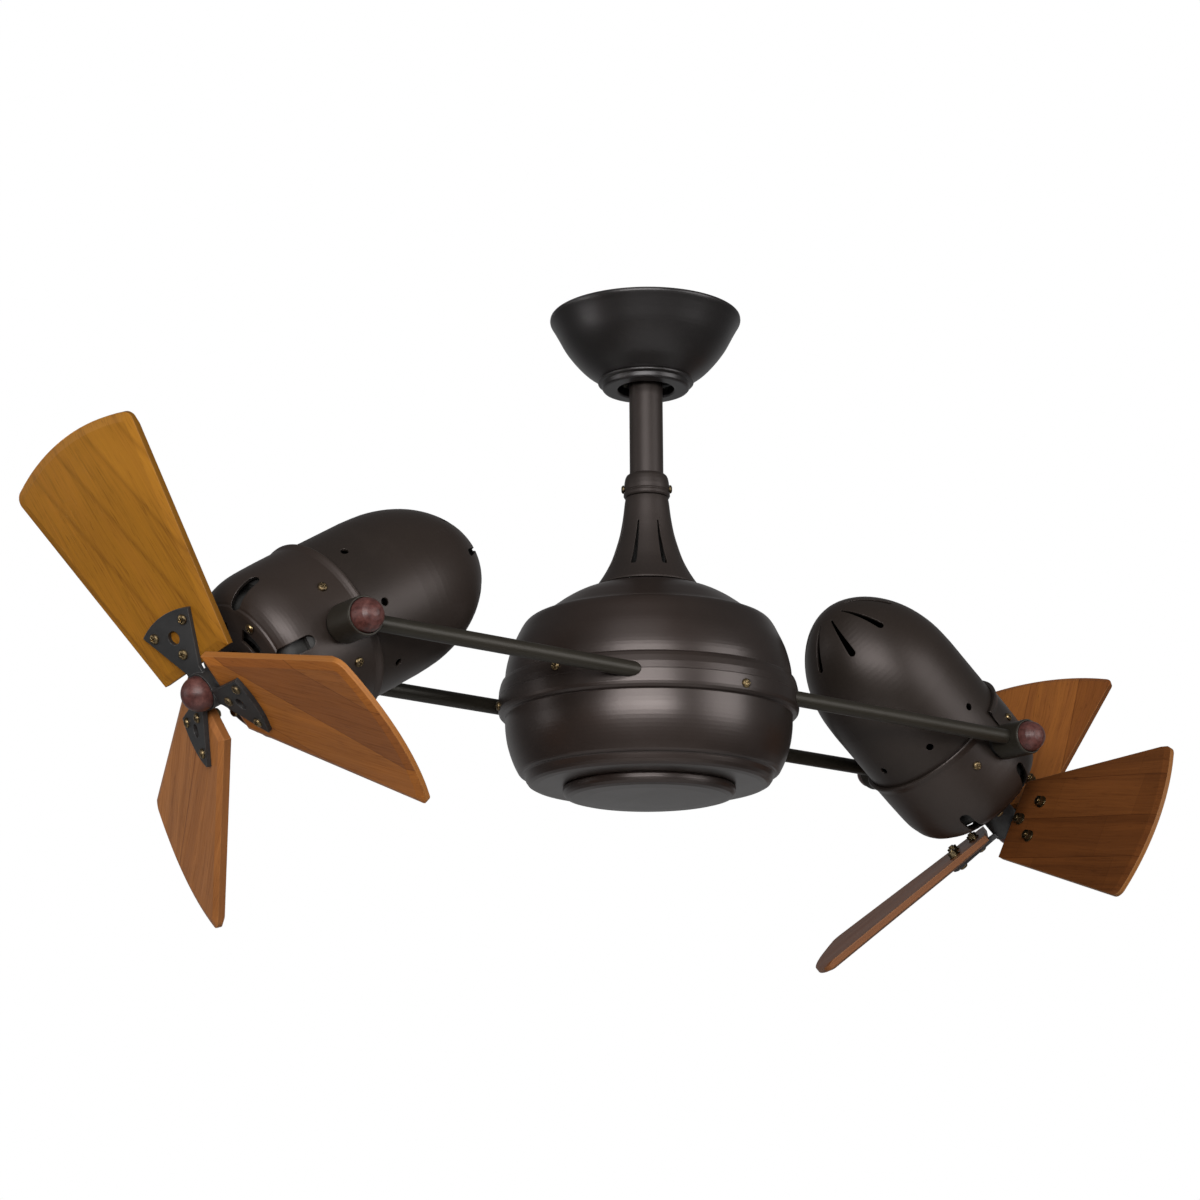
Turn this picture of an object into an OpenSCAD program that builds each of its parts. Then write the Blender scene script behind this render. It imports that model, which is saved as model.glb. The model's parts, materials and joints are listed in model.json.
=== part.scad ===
// Twin head ceiling fan.
// Two motor heads with three-bladed wooden rotors are carried on two parallel
// rods that pass through a central housing. The housing turns about a fixed
// spindle under a downrod and canopy, and each head tilts between the rod ends.
// Frame: origin at the centre of the ceiling face, +Z up, rods along X.

/* [Canopy] */
// Radius of the canopy at the ceiling
canopy_r = 63.5; // [62:0.5:68]
// Radius of the hole in the canopy trim ring
ring_hole_r = 18.7; // [18:0.1:19.5]

/* [Downrod] */
// Outside radius of the downrod
downrod_r = 11.1; // [10.8:0.05:11.1]
// Inside radius of the downrod
downrod_bore_r = 8.8; // [8.8:0.05:9.4]
// Radius of the hanger ball
ball_r = 22; // [21.5:0.1:22]

/* [Centre housing] */
// Radius of the band round the centre housing
band_r = 97; // [95.5:0.5:99]
// Wall of the pressed housings
housing_t = 2; // [1.6:0.1:2.2]
// Radius of the bottom cover
cover_r = 55.5; // [55.2:0.1:60]

/* [Rods] */
// Radius of the two carrying rods
rod_r = 5; // [4.8:0.05:5]
// Distance of each rod from the middle plane
rod_y = 70; // [69:0.5:71]
// Distance of each tilt axis from the spindle
reach = 260; // [258:1:275]
// Height of the rods, below the ceiling
rod_z = -262; // [-262:1:-260]
// Slope of the two rods, left end up, in degrees
rod_slope = 1.2; // [0:0.1:1.5]

/* [Heads] */
// Tilt of the left head below level, in degrees
left_tilt = 31.7; // [-80:0.1:80]
// Tilt of the right head below level, in degrees
right_tilt = 39.6; // [-80:0.1:80]
// Radius of the rear motor shell
shell_r = 51.6; // [51.6:0.1:51.8]
// Wall of the motor shells
shell_t = 1.6; // [1.2:0.1:1.6]

/* [Rotors] */
// Distance of the blades from the tilt axis
blade_s = 65.2; // [60:0.1:66]
// Pitch of the blades, in degrees
blade_pitch = 19; // [14:0.5:19]
// Distance from the shaft to the outer corners of a blade
blade_len = 157.5; // [130:0.5:158]
// Width of a blade at its tip
blade_tip_w = 110; // [90:1:110]
// Thickness of a blade
blade_t = 6; // [5:0.2:6]
// Turn of the left rotor at rest, in degrees
left_phase = 8.7; // [0:0.1:119]
// Turn of the right rotor at rest, in degrees
right_phase = 41.3; // [0:0.1:119]

/* [Hidden] */

bronze = [0.29, 0.27, 0.26];
iron = [0.22, 0.21, 0.21];
steel = [0.62, 0.62, 0.63];
brass_c = [0.62, 0.52, 0.30];
copper_c = [0.72, 0.42, 0.22];
golden = [0.66, 0.47, 0.20];
redwood = [0.60, 0.36, 0.20];
mahogany = [0.34, 0.18, 0.15];
sintered = [0.66, 0.50, 0.28];
insul = [0.75, 0.70, 0.58];

ball_z = -22;              // centre of the hanger ball
eye_in = 56;               // inner face of a rod eye
eye_out = 81;              // outer face of a rod eye
eye_r = 12;                // radius of a rod eye
stud_r = 4;                // trunnion stud
pad_r = 8.5;               // trunnion pad on the motor frame
hub_r = 11.5;              // hub of the blade carrier
half_t = blade_t / 2;

// ---------------------------------------------------------------- helpers
// smooth curve through key points of a profile
function cr4(a, b, c, d, t) = 0.5 * (2 * b + (c - a) * t + (2 * a - 5 * b + 4 * c - d) * t * t + (3 * b - a - 3 * c + d) * t * t * t);
function smooth(p, n = 3) = [for (i = [0 : len(p) - 2]) for (k = [0 : n - 1])
    cr4(p[max(i - 1, 0)], p[i], p[i + 1], p[min(i + 2, len(p) - 1)], k / n), p[len(p) - 1]];
function unit(v) = v / norm(v);
// the same curve, t to the left of its direction of travel
function inset(p, t) = [for (i = [0 : len(p) - 1])
    let (d = unit(p[min(i + 1, len(p) - 1)] - p[max(i - 1, 0)]), q = p[i] + t * [-d[1], d[0]])
    [max(q[0], 0), q[1]]];
function rev(p) = [for (i = [len(p) - 1 : -1 : 0]) p[i]];
function arc(c, r, a0, a1, n) = [for (i = [0 : n]) let (a = a0 + (a1 - a0) * i / n) c + r * [cos(a), sin(a)]];

module spin(p, fn = 96) rotate_extrude($fn = fn) polygon(p);
module tube(r1, r0, h) difference() { cylinder(r = r1, h = h, $fn = 64); translate([0, 0, -1]) cylinder(r = r0, h = h + 2, $fn = 64); }
module along_y(y) translate([0, y, 0]) rotate([-90, 0, 0]) children();
module along_x(x) translate([x, 0, 0]) rotate([0, 90, 0]) children();

// pan head screw: shank down to -l, head above z = 0
module pan_screw(r, l, hr, hh) {
  difference() {
    union() {
      translate([0, 0, -l]) cylinder(r = r, h = l + 0.01, $fn = 24);
      spin([[0, 0], [hr, 0], [hr, hh * 0.35], [hr * 0.86, hh * 0.72], [hr * 0.55, hh * 0.94], [0, hh]], 32);
    }
    for (a = [0, 90]) rotate([0, 0, a]) translate([-hr * 0.6, -hr * 0.12, hh * 0.45]) cube([hr * 1.2, hr * 0.24, hh]);
  }
}
module radial(a, r, z) rotate([0, 0, a]) translate([r, 0, z]) rotate([0, 90, 0]) children();

// ---------------------------------------------------------------- canopy
canopy_out = smooth([[canopy_r, 0], [canopy_r, -2], [canopy_r - 2, -5.5], [58.5, -11], [54.5, -18.5], [50, -25], [45, -31], [40.5, -35.5], [35.5, -39.3], [31.5, -42.2]], 3);

module hanger_bracket() color(steel) difference() {
  union() {
    translate([-56, -16, -2]) cube([112, 32, 2]);
    for (s = [-1, 1]) translate([s * 28 - 1.5, -10, -37]) cube([3, 20, 36]);
    translate([0, 0, -37]) cylinder(r = 29, h = 7, $fn = 64);
    for (s = [-1, 1]) translate([0, s * 25.2, -41.3]) cylinder(r = 3.6, h = 6, $fn = 32);
  }
  translate([0, 0, ball_z]) sphere(r = ball_r + 0.3, $fn = 64);
  translate([0, 0, -44]) cylinder(r = 16.5, h = 12, $fn = 64);
  for (s = [-1, 1]) translate([s * 44.45, 0, -3]) linear_extrude(height = 4) pill2d(12, 2.4);
  for (s = [-1, 1]) translate([0, s * 25.2, -43]) cylinder(r = 1.65, h = 11, $fn = 24);
  translate([0, 0, -3]) cylinder(r = 11, h = 4, $fn = 48);
}

module canopy() color(bronze) difference() {
  spin(concat(canopy_out, [[30.6, -43], [21.5, -43], [21.5, -41.6], [29.4, -41.6]], rev(inset(canopy_out, -1.5))));
  for (s = [-1, 1]) translate([0, s * 25.2, -50]) cylinder(r = 1.8, h = 12, $fn = 24);
}

module canopy_ring() color(bronze) spin([[29.2, -43.1], [31.2, -43.1], [31.9, -43.8], [31.7, -44.7], [30.6, -45.2], [29.4, -45.6], [29.1, -46.8], [28.9, -48.2], [28.2, -49], [27, -49.3], [20, -49.3], [19, -48.9], [ring_hole_r, -48.2], [ring_hole_r, -43.1], [20, -43.1], [20.4, -47.2], [28.2, -47.2]]);

module canopy_screws() color(brass_c) for (s = [-1, 1]) translate([0, s * 25.2, -43.05]) rotate([180, 0, 0]) pan_screw(1.55, 9, 2.9, 1.9);

// ---------------------------------------------------------------- downrod
module hanger_ball() color(insul) difference() {
  translate([0, 0, ball_z]) sphere(r = ball_r, $fn = 64);
  translate([0, 0, -60]) cylinder(r = downrod_r + 0.02, h = 60, $fn = 64);
  translate([-30, -30, -9]) cube([60, 60, 20]);
  translate([0, 0, ball_z]) along_x(-25) cylinder(r = 2.53, h = 50, $fn = 32);
}
module ball_pin() color(steel) translate([0, 0, ball_z]) along_x(-17) cylinder(r = 2.5, h = 34, $fn = 32);
module downrod() color(bronze) difference() {
  translate([0, 0, -123]) tube(downrod_r, downrod_bore_r, 116);
  translate([0, 0, ball_z]) along_x(-25) cylinder(r = 2.53, h = 50, $fn = 32);
  for (a = [143.6, -36.4]) rotate([0, 0, a]) translate([0, 0, -118]) along_x(0) cylinder(r = 1.95, h = 20, $fn = 24);
}
module coupling_collar() color(bronze) difference() {
  spin([[11.15, -108.4], [12.4, -108.6], [13.4, -109.5], [14.1, -111], [14.6, -113.4], [14.9, -116.5], [14.9, -119.2], [14.3, -120.2], [15.2, -121.1], [15.3, -122.8], [14.7, -123.9], [13.9, -124.2], [11.15, -124.2]]);
  for (a = [143.6, -36.4]) rotate([0, 0, a]) translate([0, 0, -118]) along_x(0) cylinder(r = 1.95, h = 20, $fn = 24);
}
module collar_screws() color(brass_c) for (a = [143.6, -36.4]) radial(a, 14.9, -118) pan_screw(1.9, 7.6, 2.8, 1.9);

neck_out = smooth([[14, -124.6], [14.6, -128], [15.3, -134], [16.2, -140.5], [17.8, -149], [20, -157], [23.2, -166.5], [26.8, -174], [30, -179.4], [33.2, -184.2]], 3);
module neck_cover() color(bronze) difference() {
  union() {
    spin(concat(neck_out, [[33.4, -185.3], [31.8, -185.6]], rev(inset(neck_out, -1.5))));
    translate([0, 0, -133]) tube(14.2, 8.1, 2);
  }
  for (k = [0 : 7]) rotate([0, 0, -146.4 + 45 * k]) translate([0, 0, -144]) rotate([90, 0, 90]) linear_extrude(height = 40)
    polygon([[-0.5, 1], [0.5, 1], [1.9, -29.6], [1.3, -30.6], [-1.3, -30.6], [-1.9, -29.6]]);
}
module spindle() color(steel) difference() {
  union() {
    translate([0, 0, -126]) cylinder(r = downrod_bore_r - 0.05, h = 14, $fn = 48);
    translate([0, 0, -130.9]) cylinder(r = 12, h = 5, $fn = 48);
    translate([0, 0, -292]) cylinder(r = 8, h = 166, $fn = 48);
  }
  translate([0, 0, -300]) cylinder(r = 5, h = 200, $fn = 48);
  for (a = [143.6, -36.4]) rotate([0, 0, a]) translate([0, 0, -118]) along_x(0) cylinder(r = 1.95, h = 20, $fn = 24);
}
module spindle_nut() color(steel) difference() {
  translate([0, 0, -290.4]) cylinder(r = 13.5, h = 8, $fn = 6);
  translate([0, 0, -295]) cylinder(r = 8.03, h = 20, $fn = 48);
}
module slip_rings() {
  color(insul) translate([0, 0, -232]) tube(10.5, 8.03, 20);
  color(copper_c) for (k = [0 : 2]) translate([0, 0, -229.5 + 6 * k]) tube(12.5, 10.52, 3);
}

// ---------------------------------------------------------------- turning centre
module rod(side) color(bronze) translate([0, side * rod_y, rod_z]) rotate([0, rod_slope, 0]) along_x(-reach + 7) cylinder(r = rod_r, h = 2 * (reach - 7), $fn = 48);
module near_rod() rod(-1);
module far_rod() rod(1);

// cup ended eye; sx is the side of the fan, sy the near (-1) or far (1) rod
module rod_eye(sx, sy) color(bronze) translate([0, 0, rod_z]) rotate([0, rod_slope, 0]) translate([sx * reach, 0, 0]) difference() {
  rotate([sy > 0 ? -90 : 90, 0, 0])
    spin([[stud_r + 0.06, eye_in], [eye_r - 0.8, eye_in], [eye_r, eye_in + 0.8], [eye_r, eye_out - 1], [eye_r - 0.5, eye_out], [10.7, eye_out], [10.7, eye_out - 4], [stud_r + 0.06, eye_out - 4]], 64);
  translate([-sx * 7, sy * rod_y, 0]) rotate([0, -sx * 90, 0]) cylinder(r = rod_r + 0.02, h = 20, $fn = 48);
}
module near_left_rod_eye() rod_eye(-1, -1);
module far_left_rod_eye() rod_eye(-1, 1);
module near_right_rod_eye() rod_eye(1, -1);
module far_right_rod_eye() rod_eye(1, 1);

cap_out = smooth([[24, -186.1], [32.5, -186.3], [40, -188.1], [48, -191.4], [56, -196], [63, -201], [68.5, -205.1], [70.8, -206.6]], 3);
dome_out = smooth([[70.9, -207.3], [75.5, -208], [79, -209.7], [82, -213.4], [85.6, -220.5], [88.8, -227.6], [91, -235], [92.4, -242], [92.8, -248.2]], 3);
upper_out = concat(cap_out, dome_out);
band_hi = [[93.6, -248.7], [94.8, -249.3], [band_r - 1.3, -251.5], [band_r - 0.4, -255.5], [band_r, -259.95]];
band_lo = [[band_r, -260.05], [band_r, -268], [band_r - 0.5, -270], [band_r - 1.8, -271.4], [93.6, -271.9]];
bowl_out = smooth([[92.7, -272.3], [92.5, -280], [91.4, -288], [89.4, -295.5], [86.8, -302.3], [84.2, -307.4]], 3);
bowl_foot = [[83.4, -308.3], [82.2, -309], [81, -309.2], [80.2, -309.8], [79.9, -310.8], [79.2, -312.8], [77.8, -314.8], [75.6, -316], [72, -316.6], [54, -316.9]];

module rod_holes(r) for (s = [-1, 1]) translate([0, s * rod_y, rod_z]) rotate([0, rod_slope, 0]) along_x(-120) cylinder(r = r, h = 240, $fn = 48);
module upper_housing() color(bronze) difference() {
  spin(concat(upper_out, band_hi, [[90.5, -259.95], [90.5, -248.2]], rev(inset(upper_out, -housing_t))), 128);
  rod_holes(rod_r + 0.05);
  for (a = [-163, 17]) radial(a, 80, -254.3) cylinder(r = 1.55, h = 30, $fn = 24);
}
module lower_housing() color(bronze) difference() {
  spin(concat([[90.5, -260.05]], band_lo, bowl_out, bowl_foot, [[54, -314.9], [72, -314.6], [75, -314], [77, -312.4], [78, -310]], rev(inset(bowl_out, -housing_t)), [[90.5, -272.3]]), 128);
  rod_holes(rod_r + 0.05);
  for (a = [-88, 32, 152]) radial(a, 80, -266) cylinder(r = 1.55, h = 30, $fn = 24);
}
module bottom_cover() color(bronze) spin([[0, -324.7], [40, -324.6], [50, -324.2], [cover_r - 2.2, -323.3], [cover_r - 0.5, -321.8], [cover_r, -320], [cover_r, -317.9], [cover_r - 0.6, -317.2], [53.8, -317], [53.8, -313], [52, -313], [52, -321.2], [40, -322.4], [0, -322.6]], 96);
module housing_screws() color(brass_c) {
  for (a = [-163, 17]) radial(a, band_r - 0.2, -254.3) pan_screw(1.5, 8.4, 3, 1.9);
  for (a = [-88, 32, 152]) radial(a, band_r, -266) pan_screw(1.5, 9, 3, 1.9);
}
module rod_carrier() color(iron) difference() {
  union() {
    translate([0, 0, -280]) cylinder(r = 15.5, h = 40, $fn = 64);
    intersection() {
      translate([-13, -92, rod_z - 8]) cube([26, 184, 16]);
      translate([0, 0, -272]) cylinder(r = 89, h = 22, $fn = 96);
    }
    translate([0, 0, -270]) tube(90.4, 87.4, 18);
    translate([10, -8, -268]) cube([17, 16, 16]);
  }
  translate([0, 0, -290]) cylinder(r = 11, h = 60, $fn = 64);
  rod_holes(rod_r + 0.02);
  for (a = [-163, 17]) radial(a, 80, -254.3) cylinder(r = 1.53, h = 30, $fn = 24);
  for (a = [-88, 32, 152]) radial(a, 80, -266) cylinder(r = 1.53, h = 30, $fn = 24);
  translate([22, 0, -300]) cylinder(r = 2, h = 80, $fn = 24);
}
module bearing_bushings() color(sintered) {
  spin([[8.05, -282], [14.5, -282], [14.5, -280.02], [10.95, -280.02], [10.95, -268], [8.05, -268]], 64);
  spin([[8.05, -252], [10.95, -252], [10.95, -239.98], [14.5, -239.98], [14.5, -238], [8.05, -238]], 64);
}
module brush_block() {
  color(insul) difference() {
    union() {
      translate([17, -7, -251.98]) cube([8, 14, 42]);
      translate([22, 0, -262]) cylinder(r = 1.95, h = 12, $fn = 24);
    }
    for (k = [0 : 2]) translate([0, 0, -228 + 6 * k]) along_x(10) cylinder(r = 1.25, h = 20, $fn = 24);
  }
  color(copper_c) for (k = [0 : 2]) translate([0, 0, -228 + 6 * k]) along_x(12.85) cylinder(r = 1.22, h = 14, $fn = 24);
}

// ---------------------------------------------------------------- heads
// head frame: origin on the tilt axis, +Z towards the nose, Y along the tilt axis
module place_head(side) translate([side * reach * cos(rod_slope), 0, rod_z - side * reach * sin(rod_slope)])
  rotate([0, side * (90 + (side < 0 ? left_tilt : right_tilt)), 0]) children();
module place_rotor(side) place_head(side) rotate([0, 0, side < 0 ? left_phase : right_phase]) children();

rear_out = concat(smooth([[0, -138.9], [9, -137.6], [17.6, -134], [25.8, -128.3], [33.1, -120.9], [39.5, -112], [44.6, -102], [48.4, -90.7], [50.7, -78.7], [shell_r, -64]], 3), [[shell_r, -24], [shell_r, 4]]);
front_out = concat([[shell_r + 2.7, -20.6], [shell_r + 3.2, -19.8], [shell_r + 3, -18.6], [shell_r + 2.3, -16.8], [shell_r + 1.8, -15]],
  smooth([[shell_r + 1.7, 0], [shell_r + 1.2, 16], [51.8, 24], [49.8, 30.5], [46.6, 35.5], [42.6, 38.8]], 3), [[41.2, 39.3], [40.6, 40.4], [38.6, 41.1], [32, 41.9], [26, 42.3], [13, 42.3]]);
front_in = concat([[shell_r + 0.3, -20.3], [shell_r + 0.2, 0], [shell_r - 0.3, 16]], smooth([[50, 23.5], [48.1, 29.6], [45.1, 34.2], [41.4, 37.3]], 3), [[38.6, 39.1], [32, 40.2], [26, 40.6], [13, 40.7]]);

module teardrop2d(l, r0, r1) union() {
  polygon([[-l / 2, -r0], [-l / 2, r0], [l / 2 - r1, r1], [l / 2 - r1, -r1]]);
  translate([l / 2 - r1, 0]) circle(r = r1, $fn = 24);
  translate([-l / 2, 0]) circle(r = r0, $fn = 24);
}
module pill2d(l, r) union() {
  square([l - 2 * r, 2 * r], center = true);
  for (s = [-1, 1]) translate([s * (l / 2 - r), 0]) circle(r = r, $fn = 32);
}
// open ended slot round both trunnion pads, from z = from to the tilt axis
module trunnion_notch(r, from) {
  along_y(-60) cylinder(r = r, h = 120, $fn = 48);
  translate([-r, -60, min(0, from)]) cube([2 * r, 120, abs(from)]);
}
screw_a = [63, 117, 243, 297];
nose_a = [54, 126, 234, 306];

module rear_shell(side) place_head(side) color(bronze) difference() {
  spin(concat(rear_out, rev(inset(rear_out, shell_t))), 96);
  for (k = [0 : 7]) rotate([0, 0, 2 + 45 * k]) translate([25, 0, -125.4]) rotate([0, -38.7, 0])
    linear_extrude(height = 16, center = true) teardrop2d(32, 0.6, 2.4);
  for (k = [0 : 7]) radial(45 * k, 40, -35) cylinder(r = 2.5, h = 20, $fn = 24);
  for (a = screw_a) radial(a, 40, -3) cylinder(r = 1.55, h = 20, $fn = 24);
  trunnion_notch(9, 10);
}
module front_shell(side) place_head(side) color(bronze) difference() {
  spin(concat(front_out, rev(front_in)), 96);
  trunnion_notch(10, -30);
  for (k = [0 : 5]) rotate([0, 0, 30 + 60 * k]) translate([45.5, 0, 30]) rotate([0, -124, 0])
    linear_extrude(height = 18, center = true) pill2d(24, 4);
  for (k = [0 : 5]) rotate([0, 0, 60 * k]) translate([0, 0, 34]) linear_extrude(height = 12)
    polygon(concat(arc([0, 0], 31, -17, 17, 8), arc([0, 0], 22, 17, -17, 8)));
  for (a = screw_a) radial(a, 40, -3) cylinder(r = 1.55, h = 20, $fn = 24);
  for (a = nose_a) rotate([0, 0, a]) translate([36, 0, 24.5]) cylinder(r = 1.55, h = 30, $fn = 24);
}
module motor_frame(side) place_head(side) color(iron) difference() {
  union() {
    translate([0, 0, -22]) cylinder(r = 49.5, h = 40, $fn = 96);
    translate([0, 0, 18]) cylinder(r1 = 49.5, r2 = 47.6, h = 4, $fn = 96);
    along_y(-eye_in + 0.3) cylinder(r = pad_r, h = 2 * eye_in - 0.6, $fn = 48);
    along_y(-86.5) cylinder(r = stud_r, h = 173, $fn = 48);
  }
  translate([0, 0, -23]) cylinder(r = 46, h = 46, $fn = 96);
  for (a = screw_a) radial(a, 40, -3) cylinder(r = 1.53, h = 20, $fn = 24);
}
module end_plates(side) place_head(side) color(iron) {
  difference() {
    union() {
      translate([0, 0, 19.5]) cylinder(r = 45.9, h = 2.5, $fn = 96);
      translate([0, 0, 18]) cylinder(r = 9, h = 8, $fn = 48);
      for (a = nose_a) rotate([0, 0, a]) translate([36, 0, 20]) cylinder(r = 3.2, h = 18.4, $fn = 32);
    }
    translate([0, 0, 15]) cylinder(r = stud_r + 0.05, h = 15, $fn = 48);
    for (a = nose_a) rotate([0, 0, a]) translate([36, 0, 25]) cylinder(r = 1.53, h = 16, $fn = 24);
    for (k = [0 : 5]) rotate([0, 0, 60 * k]) translate([23, 0, 15]) cylinder(r = 5, h = 10, $fn = 24);
  }
  difference() {
    union() {
      translate([0, 0, -22]) cylinder(r = 45.9, h = 2.5, $fn = 96);
      translate([0, 0, -26]) cylinder(r = 9, h = 8, $fn = 48);
    }
    translate([0, 0, -30]) cylinder(r = stud_r + 0.05, h = 15, $fn = 48);
    for (k = [0 : 5]) rotate([0, 0, 60 * k]) translate([23, 0, -30]) cylinder(r = 5, h = 15, $fn = 24);
  }
}
module stator_core(side) place_head(side) color(steel) difference() {
  translate([0, 0, -12]) cylinder(r = 45.9, h = 24, $fn = 96);
  translate([0, 0, -13]) cylinder(r = 22.1, h = 26, $fn = 64);
  for (k = [0 : 11]) rotate([0, 0, 30 * k]) {
    translate([32, 0, -13]) cylinder(r = 5, h = 26, $fn = 32);
    translate([20, -0.9, -13]) cube([9, 1.8, 26]);
  }
}
module stator_windings(side) place_head(side) color(copper_c) for (s = [-1, 1]) scale([1, 1, 1]) rotate([s > 0 ? 0 : 180, 0, 0])
  spin([[26.5, 12.3], [39.5, 12.3], [41, 13.2], [41, 16], [38.5, 18], [28, 18], [25.5, 16], [25.5, 13.2]], 64);
module shell_screws(side) place_head(side) color(brass_c) {
  for (a = screw_a) radial(a, shell_r + 1.75, -3) pan_screw(1.5, 6.6, 3, 1.9);
  for (a = nose_a) rotate([0, 0, a]) translate([36, 0, 41.8]) pan_screw(1.5, 11, 3, 1.9);
}

// ---------------------------------------------------------------- rotors
module motor_rotor(side) place_rotor(side) color(steel) {
  difference() {
    union() {
      translate([0, 0, -12]) cylinder(r = 21.7, h = 24, $fn = 64);
      translate([0, 0, -28]) cylinder(r = stud_r, h = blade_s + 38.8, $fn = 48);
    }
    for (k = [0 : 5]) rotate([0, 0, 60 * k]) translate([13, 0, -13]) cylinder(r = 3, h = 26, $fn = 24);
  }
}
// blade frame: +X outwards, +Y along the chord, front face towards the nose
module on_blade(k) rotate([0, 0, 120 * k]) translate([0, 0, blade_s]) rotate([blade_pitch, 0, 0]) children();
screw_xy = [[24, 0], [41, 13], [41, -13]];
iron_out = concat([[8, 5.5], [8, -5.5], [13.5, -5.6]], arc([0, 0], 49.5, -24.5, 24.5, 12), [[13.5, 5.6]]);

module blade_carrier(side) place_rotor(side) color(iron) difference() {
  union() {
    translate([0, 0, 48]) cylinder(r = hub_r, h = blade_s - 41.2, $fn = 48);
    for (k = [0 : 2]) on_blade(k) translate([0, 0, half_t + 0.05]) linear_extrude(height = 3) polygon(iron_out);
  }
  translate([0, 0, 40]) cylinder(r = stud_r + 0.02, h = 40, $fn = 48);
  translate([0, 0, blade_s + 6.8]) cylinder(r = 10.75, h = 10, $fn = 48);
  radial(60, 0, 52) cylinder(r = 1.6, h = 20, $fn = 24);
  for (k = [0 : 2]) on_blade(k) {
    for (p = screw_xy) translate([p[0], p[1], 0]) cylinder(r = 1.95, h = 20, $fn = 24);
    translate([35, 0, 0]) cylinder(r = 4.2, h = 20, $fn = 32);
  }
}
// blade outline, drawn in by d all round
w0 = 29;
w1 = blade_tip_w / 2;
tip_r = 138;
side_a = atan2(w1 - w0, blade_len - 14.7);
function blade_2d(d) = let (rc = 7 - d * 0.6,
    c = [blade_len + 10.5 - tip_r, 0], r = tip_r - d,
    k = w0 - d / cos(side_a), m = tan(side_a),
    cy = function (x) k - rc / cos(side_a) + m * (x - 14.7),
    f = function (lo, hi, n) n == 0 ? (lo + hi) / 2 : let (x = (lo + hi) / 2) norm([x, cy(x)] - c) > r - rc ? f(lo, x, n - 1) : f(x, hi, n - 1),
    xc = f(60, blade_len + 20, 26), q = [xc, cy(xc)], e = atan2(q[1] - c[1], q[0] - c[0]))
  concat([[14.7 + d, -(k + m * d)]], arc([q[0], -q[1]], rc, -90 + side_a, -e, 6), arc(c, r, -e + 3, e - 3, 16), arc(q, rc, e, 90 + side_a, 6), [[14.7 + d, k + m * d]]);

// outline of the back face, short of the tip by d
function blade_back(d) = [for (p = blade_2d(0)) p[0] > 100 ? [p[0] - d, p[1] - sign(p[1]) * d * tan(side_a)] : p];

module blade(side, k, c) place_rotor(side) on_blade(k) color(c) difference() {
  hull() {
    translate([0, 0, -half_t]) linear_extrude(height = 0.1) polygon(blade_back(5));
    translate([0, 0, 1.2 - half_t]) linear_extrude(height = blade_t - 2.9) polygon(blade_2d(0));
    translate([0, 0, half_t - 0.1]) linear_extrude(height = 0.1) polygon(blade_2d(5.2));
  }
  for (p = screw_xy) translate([p[0], p[1], -10]) cylinder(r = 1.95, h = 20, $fn = 24);
  rotate([-blade_pitch, 0, 0]) translate([0, 0, -20]) cylinder(r = hub_r + 0.6, h = 40, $fn = 48);
}
module blade_screws(side) place_rotor(side) color(brass_c) for (k = [0 : 2]) on_blade(k)
  for (p = screw_xy) translate([p[0], p[1], half_t + 3.05]) pan_screw(1.9, blade_t + 8, 3.1, 2);
module blade_nuts(side) place_rotor(side) color(brass_c) for (k = [0 : 2]) on_blade(k) for (p = screw_xy) translate([p[0], p[1], -half_t]) {
  translate([0, 0, -0.85]) tube(4.3, 1.93, 0.8);
  translate([0, 0, -3.95]) difference() {
    cylinder(r = 3.6, h = 3, $fn = 6);
    translate([0, 0, -1]) cylinder(r = 1.93, h = 5, $fn = 24);
  }
}
module spinner(side) place_rotor(side) color(mahogany) difference() {
  translate([0, 0, blade_s + 9]) sphere(r = 10.6, $fn = 64);
  translate([-20, -20, blade_s - 20]) cube([40, 40, 26.9]);
  translate([0, 0, blade_s - 10]) cylinder(r = stud_r + 0.02, h = 21.8, $fn = 48);
}
module knob(side, sy) place_head(side) color(mahogany) rotate([sy > 0 ? -90 : 90, 0, 0])
  spin([[stud_r + 0.05, eye_out - 3.5], [9.6, eye_out - 3.5], [10.2, eye_out - 2.9], [10.3, eye_out], [10, eye_out + 2.6], [9, eye_out + 5.2], [7.3, eye_out + 7.6], [5, eye_out + 9.3], [2.5, eye_out + 10.2], [0, eye_out + 10.5], [0, eye_out + 6], [stud_r + 0.05, eye_out + 6]], 64);

module left_rear_shell() rear_shell(-1);
module left_front_shell() front_shell(-1);
module left_motor_frame() motor_frame(-1);
module left_end_plates() end_plates(-1);
module left_stator_core() stator_core(-1);
module left_stator_windings() stator_windings(-1);
module left_shell_screws() shell_screws(-1);
module left_motor_rotor() motor_rotor(-1);
module left_blade_carrier() blade_carrier(-1);
module left_blade_a() blade(-1, 0, golden);
module left_blade_b() blade(-1, 2, redwood);
module left_blade_c() blade(-1, 1, redwood);
module left_blade_screws() blade_screws(-1);
module left_blade_nuts() blade_nuts(-1);
module left_spinner() spinner(-1);
module left_near_knob() knob(-1, -1);
module left_far_knob() knob(-1, 1);
module right_rear_shell() rear_shell(1);
module right_front_shell() front_shell(1);
module right_motor_frame() motor_frame(1);
module right_end_plates() end_plates(1);
module right_stator_core() stator_core(1);
module right_stator_windings() stator_windings(1);
module right_shell_screws() shell_screws(1);
module right_motor_rotor() motor_rotor(1);
module right_blade_carrier() blade_carrier(1);
module right_blade_a() blade(1, 2, redwood);
module right_blade_b() blade(1, 0, redwood);
module right_blade_c() blade(1, 1, redwood);
module right_blade_screws() blade_screws(1);
module right_blade_nuts() blade_nuts(1);
module right_spinner() spinner(1);
module right_near_knob() knob(1, -1);
module right_far_knob() knob(1, 1);

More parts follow.
